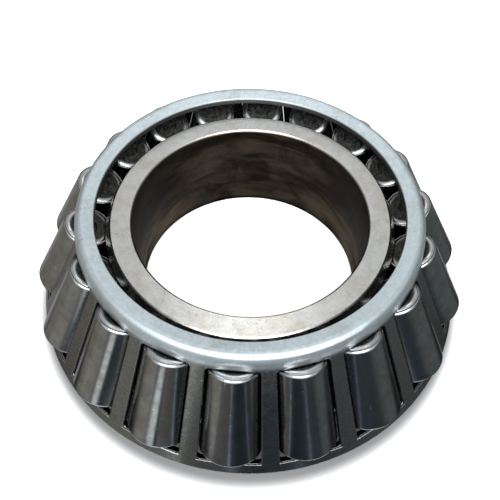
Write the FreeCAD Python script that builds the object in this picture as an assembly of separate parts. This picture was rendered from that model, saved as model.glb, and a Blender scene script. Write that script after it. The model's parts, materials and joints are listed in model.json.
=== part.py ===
import FreeCAD, Part
import math
import os

os.makedirs("parts", exist_ok=True)

# The cone assembly of a tapered roller bearing: the inner ring, the tapered rollers and their pressed cage.
# Millimetres and degrees. The bearing's axis is Z. The origin is the centre of the back face, which is the
# face beside the large rib, and +Z points to the front face, beside the small rib.
# A section is a half plane through the axis, and a point of it is written (radius, height).

# Inner ring
bore_diameter = 65.0
ring_width = 33.0
back_corner_radius = 2.8        # between the bore and the back face, clears the shaft's fillet
front_bore_chamfer = 0.5
front_face_diameter = 77.0
front_edge_chamfer = 0.3
small_rib_diameter = 80.0
large_rib_diameter = 102.6
large_rib_chamfer = 0.6

# Rollers
roller_count = 18
first_roller_angle = -93.9      # about Z, from +X
roller_tilt = 25.3              # between a roller's axis and the bearing's axis
roller_length = 26.4
roller_large_diameter = 16.5
roller_large_centre = (55.6, 7.95)
large_end_corner = 0.8
large_end_sphere_radius = 110.0
small_end_corner = 1.0
large_dimple_diameter = 7.0
small_dimple_diameter = 4.6
dimple_depth = 0.45
dimple_rim_radius = 0.1
dimple_foot_radius = 0.2

# Clearances
raceway_gap = 0.05              # between a roller and the raceway
large_rib_gap = 0.05            # between a roller's large end and the large rib
rib_contact = 6.2               # from a roller's axis to where its large end meets the large rib
small_rib_gap = 0.50            # between a roller's small end and the small rib
relief_width = 0.9              # of the grinding relief in each corner of the raceway
relief_depth = 0.25

# Cage, bent from one thickness of sheet. The corners of its outer face run from the edge of the flange,
# over the crest and down to the foot of the lip, and then along the conical wall to the foot of the wall.
# The crest's corner is cut by a chord, and both ends of the chord are rounded: tightly at the crest, and
# widely at the shoulder below it.
cage_sheet = 2.0
flange_edge = (41.85, 37.65)
lip_crest = (47.00, 39.03)
crest_cut = 1.2                 # from the crest's corner back along the flange
shoulder_cut = 2.4              # from the crest's corner down the side of the lip
lip_foot = (47.24, 34.40)
wall_foot = (62.30, 5.00)
crest_outer_radius = 1.8
shoulder_radius = 4.2
crest_inner_radius = 0.6
lip_foot_radius = 2.2
cage_edge_radius = 0.25

# Pockets, measured in a roller's own frame
pocket_half_width_large = 8.15  # at the roller's large end
pocket_half_width_small = 6.57  # at the roller's small end
pocket_past_large_end = 2.3
pocket_past_small_end = 0.4
pocket_corner_radius = 1.0

# Worked out from the dimensions above
bore_radius = bore_diameter / 2
tilt = math.radians(roller_tilt)
roller_large_radius = roller_large_diameter / 2
apex_distance = roller_large_centre[0] / math.sin(tilt)
roller_half_angle = math.atan(roller_large_radius / apex_distance)
raceway_half_angle = tilt - roller_half_angle
roller_pitch = 360.0 / roller_count

bearing_axis = FreeCAD.Vector(0, 0, 1)
origin = FreeCAD.Vector(0, 0, 0)


def roller_radius(along):
    """Radius of a roller at a distance from its large end. Its sides meet on the bearing's axis."""
    return roller_large_radius - along * math.tan(roller_half_angle)


def beside_roller(along, out):
    """Section point at a distance along a roller's axis from its large end, and a distance square to it."""
    radius = roller_large_centre[0] - along * math.sin(tilt) + out * math.cos(tilt)
    height = roller_large_centre[1] + along * math.cos(tilt) + out * math.sin(tilt)
    return radius, height


def on_raceway(along):
    """Section point of the raceway beside a distance along the roller."""
    radius, height = beside_roller(along, -roller_radius(along))
    radius -= raceway_gap * math.cos(raceway_half_angle)
    height -= raceway_gap * math.sin(raceway_half_angle)
    return radius, height


def on_large_rib(out):
    """Section point of the large rib's face, which is tangent to the rollers' ends, less the gap."""
    lean = math.asin(rib_contact / large_end_sphere_radius)
    contact = large_end_sphere_radius * (1 - math.cos(lean)) - large_rib_gap
    return beside_roller(contact - (rib_contact + out) * math.tan(lean), out)


def section_vector(point):
    return FreeCAD.Vector(point[0], 0, point[1])


def unit(vector):
    return vector * (1.0 / vector.Length)


def crossing(point_a, along_a, point_b, along_b):
    """Point of a section where two lines cross."""
    denominator = along_a.x * along_b.z - along_a.z * along_b.x
    gap = point_b - point_a
    return point_a + along_a * ((gap.x * along_b.z - gap.z * along_b.x) / denominator)


def rounded_wire(corners, radii):
    """Closed wire through the corners, with a tangent arc at each corner that has a radius."""
    count = len(corners)
    starts = []
    ends = []
    edges = []
    for index, corner in enumerate(corners):
        to_last = unit(corners[index - 1] - corner)
        to_next = unit(corners[(index + 1) % count] - corner)
        radius = radii[index]
        half_angle = to_last.getAngle(to_next) / 2
        reach = radius / math.tan(half_angle) if radius else 0.0
        start = corner + to_last * reach
        end = corner + to_next * reach
        if radius:
            inward = unit(to_last + to_next)
            middle = corner + inward * (radius / math.sin(half_angle) - radius)
            edges.append(Part.Arc(start, middle, end).toShape())
        starts.append(start)
        ends.append(end)
    for index in range(count):
        here = ends[index]
        there = starts[(index + 1) % count]
        edges.append(Part.LineSegment(here, there).toShape())
    return Part.Wire(Part.__sortEdges__(edges))


def turned(wire):
    """Solid made by turning a section about the Z axis."""
    return Part.Face(wire).revolve(origin, bearing_axis, 360)


def relief(corner, towards_face, towards_raceway):
    """Arc of the grinding relief dug into a corner of the raceway, from its face to its raceway side."""
    into_ring = unit(towards_face + towards_raceway) * -relief_depth
    start = corner + towards_face * relief_width
    end = corner + towards_raceway * relief_width
    return start, corner + into_ring, end


def inner_ring():
    """Ring with the bore, both faces, the raceway between two ribs, and a relief in each corner."""
    rib_radius = large_rib_diameter / 2
    rib_foot = section_vector(on_large_rib(-roller_large_radius))
    rib_face = unit(section_vector(on_large_rib(0)) - rib_foot)
    rib_top = crossing(rib_foot, rib_face, section_vector((rib_radius, 0)), bearing_axis)
    past_small_end = roller_length + small_rib_gap
    small_out = (small_rib_diameter / 2 - beside_roller(past_small_end, 0)[0]) / math.cos(tilt)
    small_rib_top = section_vector(beside_roller(past_small_end, small_out))

    across = FreeCAD.Vector(math.cos(tilt), 0, math.sin(tilt))
    small_corner = section_vector(on_raceway(past_small_end))
    up_raceway = unit(small_corner - section_vector(on_raceway(0)))
    large_corner = crossing(rib_foot, rib_face, small_corner, up_raceway)
    large_relief = relief(large_corner, rib_face, up_raceway)
    small_relief = relief(small_corner, across, up_raceway * -1)

    front_radius = front_face_diameter / 2
    rib_side = unit(section_vector((front_radius, ring_width)) - small_rib_top)
    front_edge = section_vector((front_radius, ring_width)) - rib_side * front_edge_chamfer
    corner_centre = section_vector((bore_radius + back_corner_radius, back_corner_radius))
    corner_middle = corner_centre - unit(FreeCAD.Vector(1, 0, 1)) * back_corner_radius

    runs = [
        [
            section_vector((bore_radius + back_corner_radius, 0)),
            section_vector((rib_radius - large_rib_chamfer, 0)),
            section_vector((rib_radius, large_rib_chamfer)),
            rib_top - bearing_axis * large_rib_chamfer,
            rib_top - rib_face * large_rib_chamfer,
            large_relief[0],
        ],
        [large_relief[2], small_relief[2]],
        [
            small_relief[0],
            small_rib_top,
            front_edge,
            section_vector((front_radius - front_edge_chamfer, ring_width)),
            section_vector((bore_radius + front_bore_chamfer, ring_width)),
            section_vector((bore_radius, ring_width - front_bore_chamfer)),
            section_vector((bore_radius, back_corner_radius)),
        ],
    ]
    edges = [
        Part.Arc(*large_relief).toShape(),
        Part.Arc(*small_relief).toShape(),
        Part.Arc(runs[2][-1], corner_middle, runs[0][0]).toShape(),
    ]
    for run in runs:
        for here, there in zip(run, run[1:]):
            edges.append(Part.LineSegment(here, there).toShape())
    return turned(Part.Wire(Part.__sortEdges__(edges)))


def roller():
    """One roller in its own frame, its slightly domed large end at the origin and its axis +Z.
    Each end has a dimple."""
    top = roller_length
    large_dimple = large_dimple_diameter / 2
    small_dimple = small_dimple_diameter / 2
    corners = [
        (0, dimple_depth),
        (large_dimple, dimple_depth),
        (large_dimple, 0),
        (roller_large_radius, 0),
        (roller_radius(top), top),
        (small_dimple, top),
        (small_dimple, top - dimple_depth),
        (0, top - dimple_depth),
    ]
    dimple_radii = [dimple_rim_radius, dimple_foot_radius]
    radii = [0] + dimple_radii[::-1] + [large_end_corner, small_end_corner] + dimple_radii + [0]
    blank = turned(rounded_wire([section_vector(corner) for corner in corners], radii))
    end_sphere = Part.makeSphere(large_end_sphere_radius, bearing_axis * large_end_sphere_radius)
    return blank.common(end_sphere).Solids[0]


def in_roller_frame(shape, angle):
    """Copy of a shape made in a roller's own frame, moved to the roller at an angle about the bearing."""
    lean = FreeCAD.Rotation(FreeCAD.Vector(0, 1, 0), -roller_tilt)
    seat = FreeCAD.Placement(section_vector(roller_large_centre), lean)
    turn = FreeCAD.Placement(origin, FreeCAD.Rotation(bearing_axis, angle))
    moved = shape.copy()
    moved.Placement = turn.multiply(seat)
    return moved


def cage_blank():
    """The pressed shell before its pockets are pierced: flange, rounded lip and conical wall.
    The seam of its surfaces is turned to the middle of a bar, clear of the pockets."""
    outer = [section_vector(point) for point in (flange_edge, lip_crest, lip_foot, wall_foot)]
    directions = [unit(there - here) for here, there in zip(outer, outer[1:])]
    normals = [FreeCAD.Vector(line.z, 0, -line.x) for line in directions]
    inside = [start + normal * cage_sheet for start, normal in zip(outer, normals)]
    inner = [
        crossing(inside[0], directions[0], outer[0], bearing_axis),
        crossing(inside[0], directions[0], inside[1], directions[1]),
        crossing(inside[1], directions[1], inside[2], directions[2]),
        outer[3] + normals[2] * cage_sheet,
    ]
    crest = outer[1] - directions[0] * crest_cut
    shoulder = outer[1] + directions[1] * shoulder_cut
    corners = [outer[0], crest, shoulder] + outer[2:] + inner[::-1]
    edge = cage_edge_radius
    outer_radii = [edge, crest_outer_radius, shoulder_radius, lip_foot_radius, edge]
    inner_radii = [edge, crest_inner_radius, lip_foot_radius + cage_sheet, edge]
    blank = turned(rounded_wire(corners, outer_radii + inner_radii[::-1]))
    blank.rotate(origin, bearing_axis, first_roller_angle + roller_pitch / 2)
    return blank


def pocket_cutter():
    """Tapered block with round corners, in a roller's own frame, that pierces one pocket."""
    slope = (pocket_half_width_large - pocket_half_width_small) / roller_length
    low = -pocket_past_large_end
    high = roller_length + pocket_past_small_end
    low_width = pocket_half_width_large - slope * low
    high_width = pocket_half_width_large - slope * high
    corners = [
        FreeCAD.Vector(0, -low_width, low),
        FreeCAD.Vector(0, low_width, low),
        FreeCAD.Vector(0, high_width, high),
        FreeCAD.Vector(0, -high_width, high),
    ]
    outline = rounded_wire(corners, [pocket_corner_radius] * len(corners))
    return Part.Face(outline).extrude(FreeCAD.Vector(roller_large_radius, 0, 0))


def roller_angles():
    return [first_roller_angle + roller_pitch * index for index in range(roller_count)]


def cage():
    """Cage with a pocket for each roller. Each pocket has to lie within the conical wall."""
    cutters = [in_roller_frame(pocket_cutter(), angle) for angle in roller_angles()]
    pierced = cage_blank().cut(cutters).Solids[0]
    walls = [face for face in pierced.Faces if len(face.Wires) > roller_count]
    if len(walls) != 2:
        raise ValueError("a pocket runs off the inside or the outside of the conical wall")
    return pierced


def save(name, solid):
    """Write one sub-part, and say whether it is sound."""
    solid.exportStep(f"parts/{name}.step")
    print(f"{name}: valid {solid.isValid()}, closed {solid.isClosed()}, faces {len(solid.Faces)}")


save("inner_ring", inner_ring())
save("cage", cage())
for index, angle in enumerate(roller_angles(), start=1):
    save(f"roller_{index:02d}", in_roller_frame(roller(), angle))
roller_turns = math.sin(raceway_half_angle) / math.sin(roller_half_angle)
print(f"roller turns per turn of the cage: {roller_turns:.4f}")
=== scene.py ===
import json
import math

import bpy
from mathutils import Matrix, Vector


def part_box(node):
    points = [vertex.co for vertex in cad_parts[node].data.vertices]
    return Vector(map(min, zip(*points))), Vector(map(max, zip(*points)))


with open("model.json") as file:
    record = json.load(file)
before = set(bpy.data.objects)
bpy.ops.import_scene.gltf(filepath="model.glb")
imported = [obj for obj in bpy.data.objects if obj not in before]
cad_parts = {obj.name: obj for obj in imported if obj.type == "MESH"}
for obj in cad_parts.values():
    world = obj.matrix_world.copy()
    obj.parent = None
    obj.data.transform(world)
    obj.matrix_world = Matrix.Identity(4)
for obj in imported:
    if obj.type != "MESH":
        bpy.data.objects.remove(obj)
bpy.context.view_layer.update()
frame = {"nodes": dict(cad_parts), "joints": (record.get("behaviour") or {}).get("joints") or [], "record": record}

# The inner ring, rollers and cage of a tapered roller bearing, on a pale floor.
# The scene is in metres, in the frame of the CAD model: the bearing's axis is Z, the part stands on its back
# face at z = 0, and the viewer is towards -Y.
# Materials work in millimetres, in the frame of the piece that they are on. Colours are linear.

MM = 0.001

# The ring.
bore_mount = next(mount for mount in frame["record"]["mounts"] if mount["name"] == "bore")
BORE_RADIUS = bore_mount["dims"]["r_mm"]
RING_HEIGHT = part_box("inner_ring")[1].z / MM
FACE_DEPTH = (0.12, 0.02)  # the face's look starts and is full this far below the top
BORE_DEPTH = (0.06, 0.50)  # the bore's look is full and ends this far outside the bore's radius
BORE_PALE_LOW = (5.0, 20.0)  # the painted light at the bottom of the bore's sides is full and ends at these heights
BORE_ASIDE = (0.45, 0.95)  # as a share of the way from the middle to the left or right side

# The cage. Its wall's outer face and its flange's outer face are straight in section.
CAGE_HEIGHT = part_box("cage")[1].z / MM
WALL_FOOT = (62.30, 5.00)
WALL_SLOPE = 0.5122
WALL_LEAN = math.cos(math.atan(WALL_SLOPE))
FLANGE_EDGE = (41.85, 37.65)
FLANGE_SLOPE = 0.268
LIP_DEPTH = (5.2, 3.4)  # the lip's look starts and is full this far below the top
INSIDE_DEPTH = (0.30, 0.55)  # the inside's look, a painted shade, starts and is full this deep under the outer faces

# The pockets. The rollers are evenly spaced, and a pocket is measured in its roller's own frame.
PITCH = math.radians(20.0)
FIRST_ANGLE = math.radians(-93.9)
ROLLER_LENGTH = 26.4
ROLLER_TILT = math.radians(25.3)
ROLLER_FOOT = (55.6, 7.95)
POCKET_WIDTHS = (8.15, 6.57)  # from the middle to each side, at the roller's foot and at its small end
POCKET_ENDS = (-2.3, 26.8)  # along the roller, from its foot
RIM = 0.30  # how far out the rim is shaded as rounded off

# The rollers' small ends. Outside END_WORN they are smooth and shaded as if they fell away: curved over
# END_CURVE, and then straight at END_SLOPE.
SMALL_END_DEPTH = (0.25, 0.05)  # the end's look starts and is full this far below its face
NEAR_SMALL_END = (20.0, 21.0)  # along the roller: the dimple's look is kept out of the large end by this
DIMPLE_RADIUS = (2.25, 2.60)  # the dimple's look is full and ends at these distances from the axis
END_WORN = 4.6
END_WORN_FADE = 0.8
END_CURVE = 1.2
END_SLOPE = 0.45
BUMP_STEP = 0.008  # a height of 1 in the rollers' shading

# The floor, in metres. It has a painted shadow, darker, from the first pair of distances from the axis to the
# second.
FLOOR_SIZE = 6.0
FLOOR_GLOW = 0.6
SHADE_STARTS = (0.038, 0.044)
SHADE_ENDS = (0.062, 0.068)

# The cards, in metres.
FLAG_PLACE = (0.006, -0.075, 0.006)
FLAG_SIZE = (0.060, 0.050)
SHADE_RADIUS = 0.064
SHADE_DEPTH = 0.0005
SHADE_LEVEL = 0.02
BORE_SHADE_RADIUS = 0.030
BORE_SHADE_DEPTH = 0.0002
BORE_SHADE_LEVEL = 0.25
DISC_CORNERS = 96

# The camera, in millimetres and degrees.
CAMERA_PLACE = (0.0, -105.8, 162.3)
CAMERA_AIM = (0.1, 0.0, 15.5)
CAMERA_LEAN = 1.29
SENSOR_WIDTH = 36.0
FOCAL_LENGTH = 43.56


class Look:
    """A metal under construction. Its methods add nodes, and take outputs of nodes or plain values."""

    def __init__(self, name):
        self.material = bpy.data.materials.new(name)
        self.material.use_nodes = True
        self.nodes = self.material.node_tree.nodes
        self.links = self.material.node_tree.links
        self.shader = self.nodes["Principled BSDF"]
        self.shader.inputs["Metallic"].default_value = 1.0

    def add(self, kind, feeds, **settings):
        node = self.nodes.new(kind)
        for key, value in settings.items():
            setattr(node, key, value)
        for key, value in feeds.items():
            self.feed(node.inputs[key], value)
        return node

    def feed(self, socket, value):
        if isinstance(value, bpy.types.NodeSocket):
            self.links.new(value, socket)
        elif isinstance(value, (tuple, list)) and len(value) == 3 and socket.type == "RGBA":
            socket.default_value = (*value, 1.0)
        else:
            socket.default_value = value

    def place(self, location=(0, 0, 0), rotation=(0, 0, 0)):
        """Millimetres from a point of the piece, along axes turned by the rotation."""
        coordinates = self.nodes.new("ShaderNodeTexCoord").outputs["Object"]
        feeds = {"Vector": coordinates, "Location": location, "Rotation": rotation, "Scale": (MM, MM, MM)}
        return self.add("ShaderNodeMapping", feeds, vector_type="TEXTURE").outputs[0]

    def split(self, vector):
        return self.add("ShaderNodeSeparateXYZ", {0: vector}).outputs

    def join(self, x, y, z):
        return self.add("ShaderNodeCombineXYZ", {0: x, 1: y, 2: z}).outputs[0]

    def math(self, operation, first, second=0.0, clamp=False):
        feeds = {0: first, 1: second}
        return self.add("ShaderNodeMath", feeds, operation=operation, use_clamp=clamp).outputs[0]

    def plus(self, first, second):
        return self.math("ADD", first, second)

    def minus(self, first, second):
        return self.math("SUBTRACT", first, second)

    def times(self, first, second):
        return self.math("MULTIPLY", first, second)

    def larger(self, first, second):
        return self.math("MAXIMUM", first, second)

    def smaller(self, first, second):
        return self.math("MINIMUM", first, second)

    def step(self, value, low, high, at_low=0.0, at_high=1.0):
        """Smooth change from at_low to at_high as the value goes from low to high."""
        feeds = {0: value, 1: low, 2: high, 3: at_low, 4: at_high}
        return self.add("ShaderNodeMapRange", feeds, interpolation_type="SMOOTHSTEP").outputs[0]

    def between(self, amount, first, second):
        """Number that goes from first to second as the amount goes from 0 to 1."""
        return self.add("ShaderNodeMix", {0: amount, 2: first, 3: second}).outputs[0]

    def blend(self, amount, first, second):
        """Colour that goes from first to second as the amount goes from 0 to 1."""
        node = self.add("ShaderNodeMix", {}, data_type="RGBA")
        self.feed(node.inputs[0], amount)
        self.feed(node.inputs[6], first)
        self.feed(node.inputs[7], second)
        return node.outputs[2]

    def noise(self, where, scale, detail=4.0, rough=0.55, distortion=0.0):
        feeds = {"Vector": where, "Scale": scale, "Detail": detail}
        feeds["Roughness"] = rough
        feeds["Distortion"] = distortion
        return self.add("ShaderNodeTexNoise", feeds).outputs["Fac"]

    def specks(self, where, scale, size, fade=0.06):
        """Small separate spots, from 0 between them to 1 on them."""
        cells = self.add("ShaderNodeTexVoronoi", {"Vector": where, "Scale": scale})
        return self.step(cells.outputs["Distance"], size, size + fade, 1.0, 0.0)

    def vector_math(self, operation, first, second):
        return self.add("ShaderNodeVectorMath", {0: first, 1: second}, operation=operation).outputs[0]

    def polar(self, x, y):
        """Distance from the axis, and the direction from it as two numbers on a circle."""
        radius = self.math("SQRT", self.plus(self.times(x, x), self.times(y, y)))
        safe = self.larger(radius, 0.01)
        return radius, self.math("DIVIDE", x, safe), self.math("DIVIDE", y, safe)

    def around(self, x_way, y_way, across, turns, lines):
        """Coordinates whose noise is drawn out round the axis, as a lathe or a grinding wheel leaves it."""
        return self.join(self.times(x_way, turns), self.times(y_way, turns), self.times(across, lines))

    def finish(self, colour, roughness, height, depth):
        """Feeds the shader. depth is how far in metres the height stands out where it is 1."""
        self.feed(self.shader.inputs["Base Color"], colour)
        self.feed(self.shader.inputs["Roughness"], roughness)
        bump = self.add("ShaderNodeBump", {"Height": height, "Distance": depth, "Strength": 1.0})
        self.links.new(bump.outputs[0], self.shader.inputs["Normal"])
        return self.material


def ring_steel():
    """Ground front face, light and faintly stained; brown, streaked bore, with painted shade at its left and
    right sides and painted light low on them; smoother raceway and ribs.
    """
    look = Look("ring_steel")
    where = look.place()
    x, y, z = look.split(where)
    radius, x_way, y_way = look.polar(x, y)

    front = look.step(z, RING_HEIGHT - FACE_DEPTH[0], RING_HEIGHT - FACE_DEPTH[1])
    bore = look.step(radius, BORE_RADIUS + BORE_DEPTH[0], BORE_RADIUS + BORE_DEPTH[1], 1.0, 0.0)
    low = look.step(z, *BORE_PALE_LOW, 1.0, 0.0)
    aside = look.step(look.math("ABSOLUTE", x_way), *BORE_ASIDE)

    broad = look.noise(where, scale=0.09, detail=5.0, rough=0.6, distortion=0.6)
    patches = look.noise(where, scale=0.35, detail=6.0, rough=0.65, distortion=0.4)
    fine = look.noise(where, scale=2.6, detail=6.0, rough=0.7)
    face_way = look.around(x_way, y_way, radius, turns=9.0, lines=9.0)
    face_lines = look.noise(face_way, scale=1.0, detail=5.0, rough=0.7)
    bore_way = look.around(x_way, y_way, z, turns=5.0, lines=5.0)
    bore_lines = look.noise(bore_way, scale=1.0, detail=5.0, rough=0.7)
    run_way = look.around(x_way, y_way, z, turns=1.7, lines=0.20)
    runs = look.noise(run_way, scale=1.0, detail=6.0, rough=0.58, distortion=0.6)
    pits = look.specks(where, scale=0.9, size=0.09)
    small_pits = look.specks(where, scale=2.2, size=0.10)

    light = (0.60, 0.59, 0.56)
    grey = (0.48, 0.47, 0.445)
    stain = (0.44, 0.36, 0.27)
    ground = (0.70, 0.69, 0.66)
    pitted = (0.16, 0.13, 0.10)
    steel = look.blend(look.step(patches, 0.35, 0.68), light, grey)
    steel = look.blend(look.step(broad, 0.50, 0.72, 0.0, 0.55), steel, stain)
    steel = look.blend(look.times(look.step(face_lines, 0.30, 0.75), 0.35), steel, ground)
    spots = look.times(pits, look.step(patches, 0.48, 0.56))
    spots = look.larger(spots, look.times(small_pits, look.step(fine, 0.55, 0.62)))
    steel = look.blend(look.times(spots, 0.8), steel, pitted)

    # The bore has painted shade at its left and right sides, where it is darkest, and painted light at the
    # bottom of those sides, where it is paler.
    dark_run = (0.040, 0.029, 0.020)
    pale_run = (0.17, 0.135, 0.10)
    dark_patch = (0.022, 0.016, 0.012)
    painted_side_shade = (0.014, 0.010, 0.007)
    painted_low_light = (0.42, 0.33, 0.22)
    brown = look.blend(look.step(runs, 0.34, 0.70), dark_run, pale_run)
    brown = look.blend(look.step(broad, 0.46, 0.66, 0.0, 0.7), brown, dark_patch)
    brown = look.blend(look.times(aside, 0.75), brown, painted_side_shade)
    # Painted light: paler towards the bottom of the left and right sides, in streaks.
    paler_part = look.times(look.times(low, aside), look.step(runs, 0.32, 0.60, 0.25, 1.0))
    brown = look.blend(paler_part, brown, painted_low_light)
    colour = look.blend(bore, steel, brown)

    face_rough = look.plus(look.step(fine, 0.3, 0.7, 0.26, 0.34), look.times(spots, 0.2))
    flank_rough = look.step(fine, 0.3, 0.7, 0.20, 0.28)
    bore_rough = look.step(runs, 0.3, 0.7, 0.26, 0.44)
    roughness = look.between(bore, look.between(front, flank_rough, face_rough), bore_rough)

    lines = look.times(look.plus(face_lines, bore_lines), 0.5)
    height = look.minus(lines, look.times(spots, 0.8))
    return look.finish(colour, roughness, height, 6e-6)


def pocket_distance(look, x, y, z, radius):
    """How far a point of the cage is outside the nearest pocket's outline."""
    angle = look.minus(look.math("ARCTAN2", y, x), FIRST_ANGLE - PITCH / 2)
    wrapped = look.add("ShaderNodeMath", {0: angle, 1: PITCH, 2: 0.0}, operation="WRAP").outputs[0]
    from_middle = look.minus(wrapped, PITCH / 2)
    sideways = look.math("ABSOLUTE", look.times(radius, look.math("SINE", from_middle)))
    outwards = look.times(radius, look.math("COSINE", from_middle))
    inwards = look.times(look.minus(ROLLER_FOOT[0], outwards), math.sin(ROLLER_TILT))
    upwards = look.times(look.minus(z, ROLLER_FOOT[1]), math.cos(ROLLER_TILT))
    along = look.plus(inwards, upwards)
    taper = (POCKET_WIDTHS[0] - POCKET_WIDTHS[1]) / ROLLER_LENGTH
    past_side = look.minus(sideways, look.minus(POCKET_WIDTHS[0], look.times(along, taper)))
    past_foot = look.minus(POCKET_ENDS[0], along)
    past_top = look.minus(along, POCKET_ENDS[1])
    return look.larger(past_side, look.larger(past_foot, past_top))


def cage_steel():
    """Pressed sheet: blue-grey and mottled on the lip, dull and darker on the wall, nearly black inside with
    painted shade.
    """
    look = Look("cage_steel")
    where = look.place()
    x, y, z = look.split(where)
    radius, x_way, y_way = look.polar(x, y)

    lip = look.step(z, CAGE_HEIGHT - LIP_DEPTH[0], CAGE_HEIGHT - LIP_DEPTH[1])
    wall_radius = look.minus(WALL_FOOT[0], look.times(look.minus(z, WALL_FOOT[1]), WALL_SLOPE))
    in_wall = look.times(look.minus(wall_radius, radius), WALL_LEAN)
    up_flange = look.times(look.minus(radius, FLANGE_EDGE[0]), FLANGE_SLOPE)
    under_flange = look.minus(look.plus(up_flange, FLANGE_EDGE[1]), z)
    inside = look.step(look.smaller(in_wall, under_flange), *INSIDE_DEPTH)
    outer_wall = look.minus(1.0, look.larger(lip, inside))

    # The rims of the pockets are shaded as if rounded off.
    from_pocket = look.larger(pocket_distance(look, x, y, z, radius), 0.0)
    on_rim = look.math("SUBTRACT", 1.0, look.math("DIVIDE", from_pocket, RIM), clamp=True)
    rounding = look.times(look.times(on_rim, on_rim), -RIM / 2)

    broad = look.noise(where, scale=0.10, detail=4.0, rough=0.6, distortion=0.5)
    mottle = look.noise(where, scale=0.9, detail=7.0, rough=0.68, distortion=0.3)
    grain = look.noise(where, scale=5.0, detail=5.0, rough=0.7)
    drawn = look.noise(look.join(x_way, y_way, look.times(z, 0.05)), scale=60.0, detail=4.0, rough=0.6)
    nicks = look.specks(where, scale=0.8, size=0.07)
    mark_way = look.vector_math("MULTIPLY", where, (0.25, 2.2, 1.1))
    marks = look.step(look.noise(mark_way, scale=1.0, detail=4.0, rough=0.7, distortion=0.8), 0.66, 0.72)

    lip_light = (0.55, 0.62, 0.65)
    lip_grey = (0.455, 0.515, 0.54)
    lip_grain = (0.62, 0.68, 0.705)
    pale = look.blend(look.step(mottle, 0.35, 0.68), lip_light, lip_grey)
    pale = look.blend(look.step(grain, 0.45, 0.75, 0.0, 0.5), pale, lip_grain)

    wall_light = (0.275, 0.29, 0.285)
    wall_grey = (0.185, 0.198, 0.197)
    wall_lines = (0.31, 0.31, 0.30)
    painted_rim_highlight = (0.62, 0.62, 0.60)
    dull = look.blend(look.step(mottle, 0.32, 0.70), wall_light, wall_grey)
    dull = look.blend(look.step(drawn, 0.45, 0.7, 0.0, 0.35), dull, wall_lines)
    # Painted highlight: the rims of the pockets are made paler.
    dull = look.blend(look.times(on_rim, 0.45), dull, painted_rim_highlight)

    film = (0.27, 0.25, 0.22)
    rubbed = (0.66, 0.67, 0.67)
    nicked = (0.12, 0.11, 0.10)
    painted_shade_inside = (0.018, 0.017, 0.016)
    colour = look.blend(lip, dull, pale)
    colour = look.blend(look.step(broad, 0.5, 0.7, 0.0, 0.25), colour, film)
    colour = look.blend(look.times(marks, 0.5), colour, rubbed)
    colour = look.blend(look.times(nicks, look.step(grain, 0.5, 0.6)), colour, nicked)
    # Painted shade: the cage is nearly black under its outer faces.
    colour = look.blend(look.times(inside, 0.92), colour, painted_shade_inside)

    look.feed(look.shader.inputs["Metallic"], look.step(lip, 0.0, 1.0, 1.0, 0.90))
    base_rough = look.step(lip, 0.0, 1.0, 0.27, 0.40)
    roughness = look.plus(base_rough, look.step(mottle, 0.3, 0.7, -0.04, 0.06))
    height = look.plus(look.times(mottle, 0.013), look.times(grain, 0.003))
    height = look.minus(height, look.times(marks, 0.008))
    height = look.plus(height, look.times(rounding, outer_wall))
    return look.finish(colour, roughness, height, MM)


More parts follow.
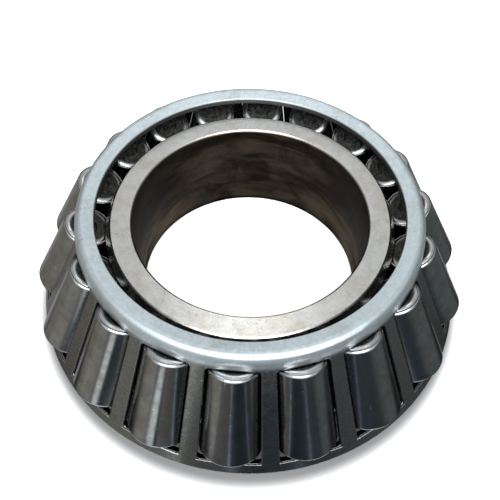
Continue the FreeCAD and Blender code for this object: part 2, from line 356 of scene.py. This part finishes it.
def roller_steel(name, joint, number):
    """Ground side with a smear of old oil. The small end is rough and dark, with a paler and smoother rim."""
    look = Look(name)
    axis = Vector(joint["axis"])
    centre = Vector(joint["pos_m"])
    tilt = math.acos(axis.z)
    where = look.place(centre, (0.0, -tilt, math.atan2(centre.y, centre.x)))
    x, y, along = look.split(where)
    radius, x_way, y_way = look.polar(x, y)
    own = look.vector_math("ADD", where, (number * 37.0, number * 11.0, 0))

    ring_way = look.around(x_way, y_way, along, turns=1.5, lines=9.0)
    rings = look.noise(ring_way, scale=1.0 + number * 0.01, detail=4.0, rough=0.7)
    band_way = look.around(x_way, y_way, along, turns=1.2, lines=0.25)
    bands = look.noise(band_way, scale=1.0 + number * 0.03, detail=3.0, rough=0.55)
    stroke_way = look.around(x_way, y_way, along, turns=14.0, lines=0.10)
    strokes = look.noise(stroke_way, scale=1.0 + number * 0.02, detail=3.0, rough=0.7)
    smear = look.noise(own, scale=0.22, detail=5.0, rough=0.6, distortion=0.7)
    fine = look.noise(own, scale=3.0, detail=6.0, rough=0.7)
    crust = look.noise(own, scale=1.1, detail=8.0, rough=0.75, distortion=1.2)
    nicks = look.specks(own, scale=0.45, size=0.05, fade=0.04)
    marks = look.times(look.step(strokes, 0.66, 0.72), look.step(fine, 0.45, 0.6))

    clean = (0.375, 0.405, 0.425)
    smeared = (0.30, 0.30, 0.29)
    banded = (0.225, 0.245, 0.26)
    rubbed = (0.75, 0.75, 0.75)
    nicked = (0.75, 0.75, 0.74)
    side = look.blend(look.step(smear, 0.35, 0.7), clean, smeared)
    side = look.blend(look.step(bands, 0.45, 0.7, 0.0, 0.35), side, banded)
    side = look.blend(look.times(marks, 0.5), side, rubbed)
    side = look.blend(look.times(nicks, 0.8), side, nicked)

    small_end = look.step(along, ROLLER_LENGTH - SMALL_END_DEPTH[0], ROLLER_LENGTH - SMALL_END_DEPTH[1])
    in_dimple = look.times(look.step(along, *NEAR_SMALL_END), look.step(radius, *DIMPLE_RADIUS, 1.0, 0.0))
    rough_end = look.larger(small_end, in_dimple)
    edge = look.step(radius, END_WORN, END_WORN + END_WORN_FADE)
    scaled = (0.018, 0.017, 0.016)
    bare = (0.08, 0.078, 0.075)
    fleck = (0.60, 0.59, 0.57)
    paler_part = (0.48, 0.48, 0.475)
    forged = look.blend(look.step(crust, 0.40, 0.62), scaled, bare)
    forged = look.blend(look.step(fine, 0.63, 0.70), forged, fleck)
    forged = look.blend(look.times(edge, 0.9), forged, paler_part)
    colour = look.blend(rough_end, side, forged)

    side_rough = look.plus(look.step(smear, 0.3, 0.75, 0.13, 0.22), look.times(marks, 0.2))
    end_rough = look.between(edge, look.step(crust, 0.35, 0.65, 0.30, 0.55), 0.24)
    roughness = look.between(rough_end, side_rough, end_rough)

    side_height = look.minus(look.times(rings, 0.22), look.times(marks, 0.5))
    past = look.larger(look.minus(radius, END_WORN), 0.0)
    curved = look.smaller(past, END_CURVE)
    straight = look.times(look.minus(past, curved), END_SLOPE / BUMP_STEP)
    bend = END_SLOPE / (2 * END_CURVE) / BUMP_STEP
    fall = look.plus(look.times(look.times(curved, curved), bend), straight)
    lumps = look.times(look.minus(crust, 0.5), 9.0)
    end_height = look.minus(look.times(lumps, look.minus(1.0, edge)), fall)
    height = look.between(rough_end, side_height, end_height)
    return look.finish(colour, roughness, height, BUMP_STEP * MM)


def paint(node, material):
    piece = frame["nodes"][node]
    piece.data.materials.clear()
    piece.data.materials.append(material)


def paint_bearing():
    paint("inner_ring", ring_steel())
    paint("cage", cage_steel())
    rollers = [joint for joint in frame["joints"] if joint["child"].startswith("roller_")]
    for number, joint in enumerate(rollers, start=1):
        node = joint["child"]
        paint(node, roller_steel(f"{node}_steel", joint, number))


def make_floor():
    """Pale floor that glows a little, with a painted shadow, a darker ring under the part's edge. Steel doesn't
    mirror it.
    """
    bpy.ops.mesh.primitive_plane_add(size=FLOOR_SIZE, location=(0, 0, 0))
    floor = bpy.context.object
    floor.name = "floor"
    material = bpy.data.materials.new("floor_paper")
    material.use_nodes = True
    shader = material.node_tree.nodes["Principled BSDF"]
    shader.inputs["Roughness"].default_value = 0.9
    shader.inputs["Specular IOR Level"].default_value = 0.0
    shader.inputs["Emission Strength"].default_value = FLOOR_GLOW
    nodes = material.node_tree.nodes
    links = material.node_tree.links
    away = nodes.new("ShaderNodeVectorMath")
    away.operation = "LENGTH"
    links.new(nodes.new("ShaderNodeTexCoord").outputs["Object"], away.inputs[0])

    def past(start, end):
        """0 nearer the axis than the start, and 1 farther from it than the end."""
        step = nodes.new("ShaderNodeMapRange")
        step.interpolation_type = "SMOOTHSTEP"
        step.inputs["From Min"].default_value = start
        step.inputs["From Max"].default_value = end
        links.new(away.outputs["Value"], step.inputs["Value"])
        return step.outputs[0]

    def shade(socket, open_level, shadow_level):
        """Grey of the floor on this socket, in the open and in the painted shadow."""
        mix = nodes.new("ShaderNodeMix")
        mix.data_type = "RGBA"
        links.new(painted_shadow.outputs[0], mix.inputs[0])
        mix.inputs[6].default_value = (open_level, open_level, open_level, 1)
        mix.inputs[7].default_value = (shadow_level, shadow_level, shadow_level, 1)
        links.new(mix.outputs[2], shader.inputs[socket])

    # Painted shadow: a ring under the part's edge is darker and does not glow.
    painted_shadow = nodes.new("ShaderNodeMath")
    painted_shadow.operation = "SUBTRACT"
    links.new(past(*SHADE_STARTS), painted_shadow.inputs[0])
    links.new(past(*SHADE_ENDS), painted_shadow.inputs[1])
    shade("Base Color", 0.92, 0.25)
    shade("Emission Color", 1.0, 0.0)
    floor.data.materials.append(material)
    floor.visible_glossy = False


def glow_across(nodes, links, shader, ramp):
    """Makes a card glow unevenly. The ramp goes across it, as (place from 0 to 1, colour)."""
    across = nodes.new("ShaderNodeSeparateXYZ")
    links.new(nodes.new("ShaderNodeTexCoord").outputs["Generated"], across.inputs[0])
    shades = nodes.new("ShaderNodeValToRGB")
    links.new(across.outputs["X"], shades.inputs[0])
    elements = shades.color_ramp.elements
    for element, (where, colour) in zip(elements, (ramp[0], ramp[-1])):
        element.position = where
        element.color = (*colour, 1)
    for where, colour in ramp[1:-1]:
        elements.new(where).color = (*colour, 1)
    links.new(shades.outputs[0], shader.inputs["Emission Color"])


def finish_card(name, level=0.0, ramp=None):
    """Turns the mesh just made into a card that only reflections see, glowing at the level or by the ramp."""
    card = bpy.context.object
    card.name = name
    material = bpy.data.materials.new(f"{name}_painted_reflection")
    material.use_nodes = True
    nodes = material.node_tree.nodes
    shader = nodes["Principled BSDF"]
    shader.inputs["Base Color"].default_value = (0.0, 0.0, 0.0, 1)
    shader.inputs["Specular IOR Level"].default_value = 0.0
    shader.inputs["Emission Color"].default_value = (level, level, level, 1)
    shader.inputs["Emission Strength"].default_value = 1.0
    if ramp:
        glow_across(nodes, material.node_tree.links, shader, ramp)
    card.data.materials.append(material)
    card.visible_camera = False
    card.visible_diffuse = False
    card.visible_shadow = False


def make_cards():
    """What the steel mirrors close by. The flag stands before the front rollers: it is dark, with two pale
    streaks, painted reflections that the rollers show. The two discs lie just below the floor, as what is
    mirrored there: painted shadow, the bearing's shade on the floor."""
    ramp = (
        (0.00, (0.20, 0.19, 0.18)),
        (0.20, (0.14, 0.132, 0.125)),
        (0.285, (0.13, 0.13, 0.13)),
        (0.32, (0.36, 0.41, 0.46)),
        (0.355, (0.055, 0.065, 0.075)),
        (0.45, (0.024, 0.030, 0.038)),
        (0.62, (0.033, 0.041, 0.052)),
        (0.69, (0.060, 0.070, 0.085)),
        (0.73, (0.19, 0.22, 0.26)),
        (0.77, (0.055, 0.066, 0.080)),
        (1.00, (0.055, 0.066, 0.078)),
    )
    bpy.ops.mesh.primitive_plane_add(size=1, location=FLAG_PLACE, rotation=(math.radians(90), 0, 0))
    bpy.context.object.scale = (*FLAG_SIZE, 1)
    finish_card("flag", ramp=ramp)
    discs = (
        ("shade", SHADE_RADIUS, SHADE_DEPTH, SHADE_LEVEL),
        ("bore_shade", BORE_SHADE_RADIUS, BORE_SHADE_DEPTH, BORE_SHADE_LEVEL),
    )
    for name, radius, depth, level in discs:
        place = (0, 0, -depth)
        bpy.ops.mesh.primitive_circle_add(
            radius=radius,
            vertices=DISC_CORNERS,
            fill_type="NGON",
            location=place,
        )
        finish_card(name, level)


def soft_light(name, place, aim, width, height, power):
    """A rectangular softbox that faces the point it aims at."""
    data = bpy.data.lights.new(name, "AREA")
    data.shape = "RECTANGLE"
    data.size = width
    data.size_y = height
    data.energy = power
    light = bpy.data.objects.new(name, data)
    light.location = place
    light.rotation_euler = (Vector(aim) - Vector(place)).to_track_quat("-Z", "Y").to_euler()
    bpy.context.scene.collection.objects.link(light)


def make_lights():
    middle = (0, 0, RING_HEIGHT * MM)
    soft_light("front_softbox", (0.0, -0.46, 0.52), middle, width=0.66, height=0.40, power=5.0)
    soft_light("lamp", (0.0, 0.30, 0.65), middle, width=0.09, height=0.09, power=0.16)


def make_world():
    """Studio walls: white to the camera, and soft patches to everything else."""
    world = bpy.data.worlds.new("studio")
    bpy.context.scene.world = world
    world.use_nodes = True
    nodes = world.node_tree.nodes
    links = world.node_tree.links
    background = nodes["Background"]

    def add(kind, feeds, **settings):
        node = nodes.new(kind)
        for key, value in settings.items():
            setattr(node, key, value)
        for key, value in feeds.items():
            if isinstance(value, bpy.types.NodeSocket):
                links.new(value, node.inputs[key])
            else:
                node.inputs[key].default_value = value
        return node

    def step(value, low, high):
        feeds = {0: value, 1: low, 2: high}
        return add("ShaderNodeMapRange", feeds, interpolation_type="SMOOTHSTEP").outputs[0]

    def mix(amount, first, second):
        node = add("ShaderNodeMix", {0: amount}, data_type="RGBA")
        for index, value in ((6, first), (7, second)):
            if isinstance(value, bpy.types.NodeSocket):
                links.new(value, node.inputs[index])
            else:
                node.inputs[index].default_value = (*value, 1)
        return node.outputs[2]

    generated = nodes.new("ShaderNodeTexCoord").outputs["Generated"]
    direction = add("ShaderNodeVectorMath", {0: generated}, operation="NORMALIZE")
    upwards = add("ShaderNodeSeparateXYZ", {0: direction.outputs[0]}).outputs[2]

    def lobe(azimuth, elevation, inner, outer):
        """1 within the inner angle of a direction, 0 beyond the outer one. The viewer is at azimuth -90."""
        rise = math.radians(elevation)
        turn = math.radians(azimuth)
        towards = (math.cos(rise) * math.cos(turn), math.cos(rise) * math.sin(turn), math.sin(rise))
        near = add("ShaderNodeVectorMath", {0: direction.outputs[0], 1: towards}, operation="DOT_PRODUCT")
        return step(near.outputs["Value"], math.cos(math.radians(outer)), math.cos(math.radians(inner)))

    # Just below the horizon: dark in front, grey at the right and warmer at the left.
    colour = mix(lobe(-70, -10, 25, 60), (0.028, 0.034, 0.040), (0.046, 0.060, 0.072))
    colour = mix(lobe(5, -12, 30, 62), colour, (0.15, 0.16, 0.155))
    colour = mix(lobe(180, -15, 35, 62), colour, (0.31, 0.28, 0.235))
    colour = mix(lobe(-148, -15, 8, 26), colour, (0.40, 0.375, 0.33))
    # Farther down it is nearly black, apart from what follows.
    colour = mix(step(upwards, -0.47, -0.58), colour, (0.02, 0.02, 0.02))
    # A small bright patch in front at the left.
    colour = mix(lobe(-114, -15, 4, 12), colour, (1.12, 1.12, 1.08))
    # Low at the back, low at the left of the back, and low in front.
    colour = mix(lobe(90, -42, 28, 44), colour, (0.30, 0.30, 0.29))
    colour = mix(lobe(142, -42, 8, 18), colour, (0.35, 0.35, 0.35))
    colour = mix(lobe(-100, -72, 14, 45), colour, (1.4, 1.46, 1.52))
    # The ceiling, and brighter patches above the front, above the back and nearly overhead.
    colour = mix(step(upwards, 0.25, 0.55), colour, (0.60, 0.625, 0.63))
    feeds = {0: lobe(-90, 30, 28, 75), 1: step(upwards, -0.02, 0.20)}
    above_front = add("ShaderNodeMath", feeds, operation="MULTIPLY").outputs[0]
    colour = mix(above_front, colour, (1.5, 1.57, 1.62))
    colour = mix(lobe(90, 30, 14, 30), colour, (0.95, 0.98, 1.0))
    colour = mix(lobe(-90, 86, 8, 24), colour, (1.3, 1.35, 1.4))
    seen = nodes.new("ShaderNodeLightPath").outputs["Is Camera Ray"]
    links.new(mix(seen, colour, (1.0, 1.0, 1.0)), background.inputs["Color"])


def make_camera():
    """Looks down on the front of the bearing, from the reference view's place and with its lean."""
    place = Vector(CAMERA_PLACE) * MM
    aim = Vector(CAMERA_AIM) * MM
    lean = math.radians(CAMERA_LEAN)
    data = bpy.data.cameras.new("camera")
    data.sensor_width = SENSOR_WIDTH
    data.lens = FOCAL_LENGTH
    data.clip_start = 0.005
    data.clip_end = 50.0
    camera = bpy.data.objects.new("camera", data)
    ahead = (aim - place).normalized()
    level = ahead.cross(Vector((0, 0, 1))).normalized()
    upright = level.cross(ahead)
    right = level * math.cos(lean) + upright * math.sin(lean)
    up = upright * math.cos(lean) - level * math.sin(lean)
    turn = Matrix((right, up, -ahead)).transposed()
    camera.matrix_world = Matrix.Translation(place) @ turn.to_4x4()
    bpy.context.scene.collection.objects.link(camera)
    bpy.context.scene.camera = camera


make_camera()
paint_bearing()
make_floor()
make_cards()
make_lights()
make_world()
bpy.context.scene.view_settings.view_transform = "Standard"
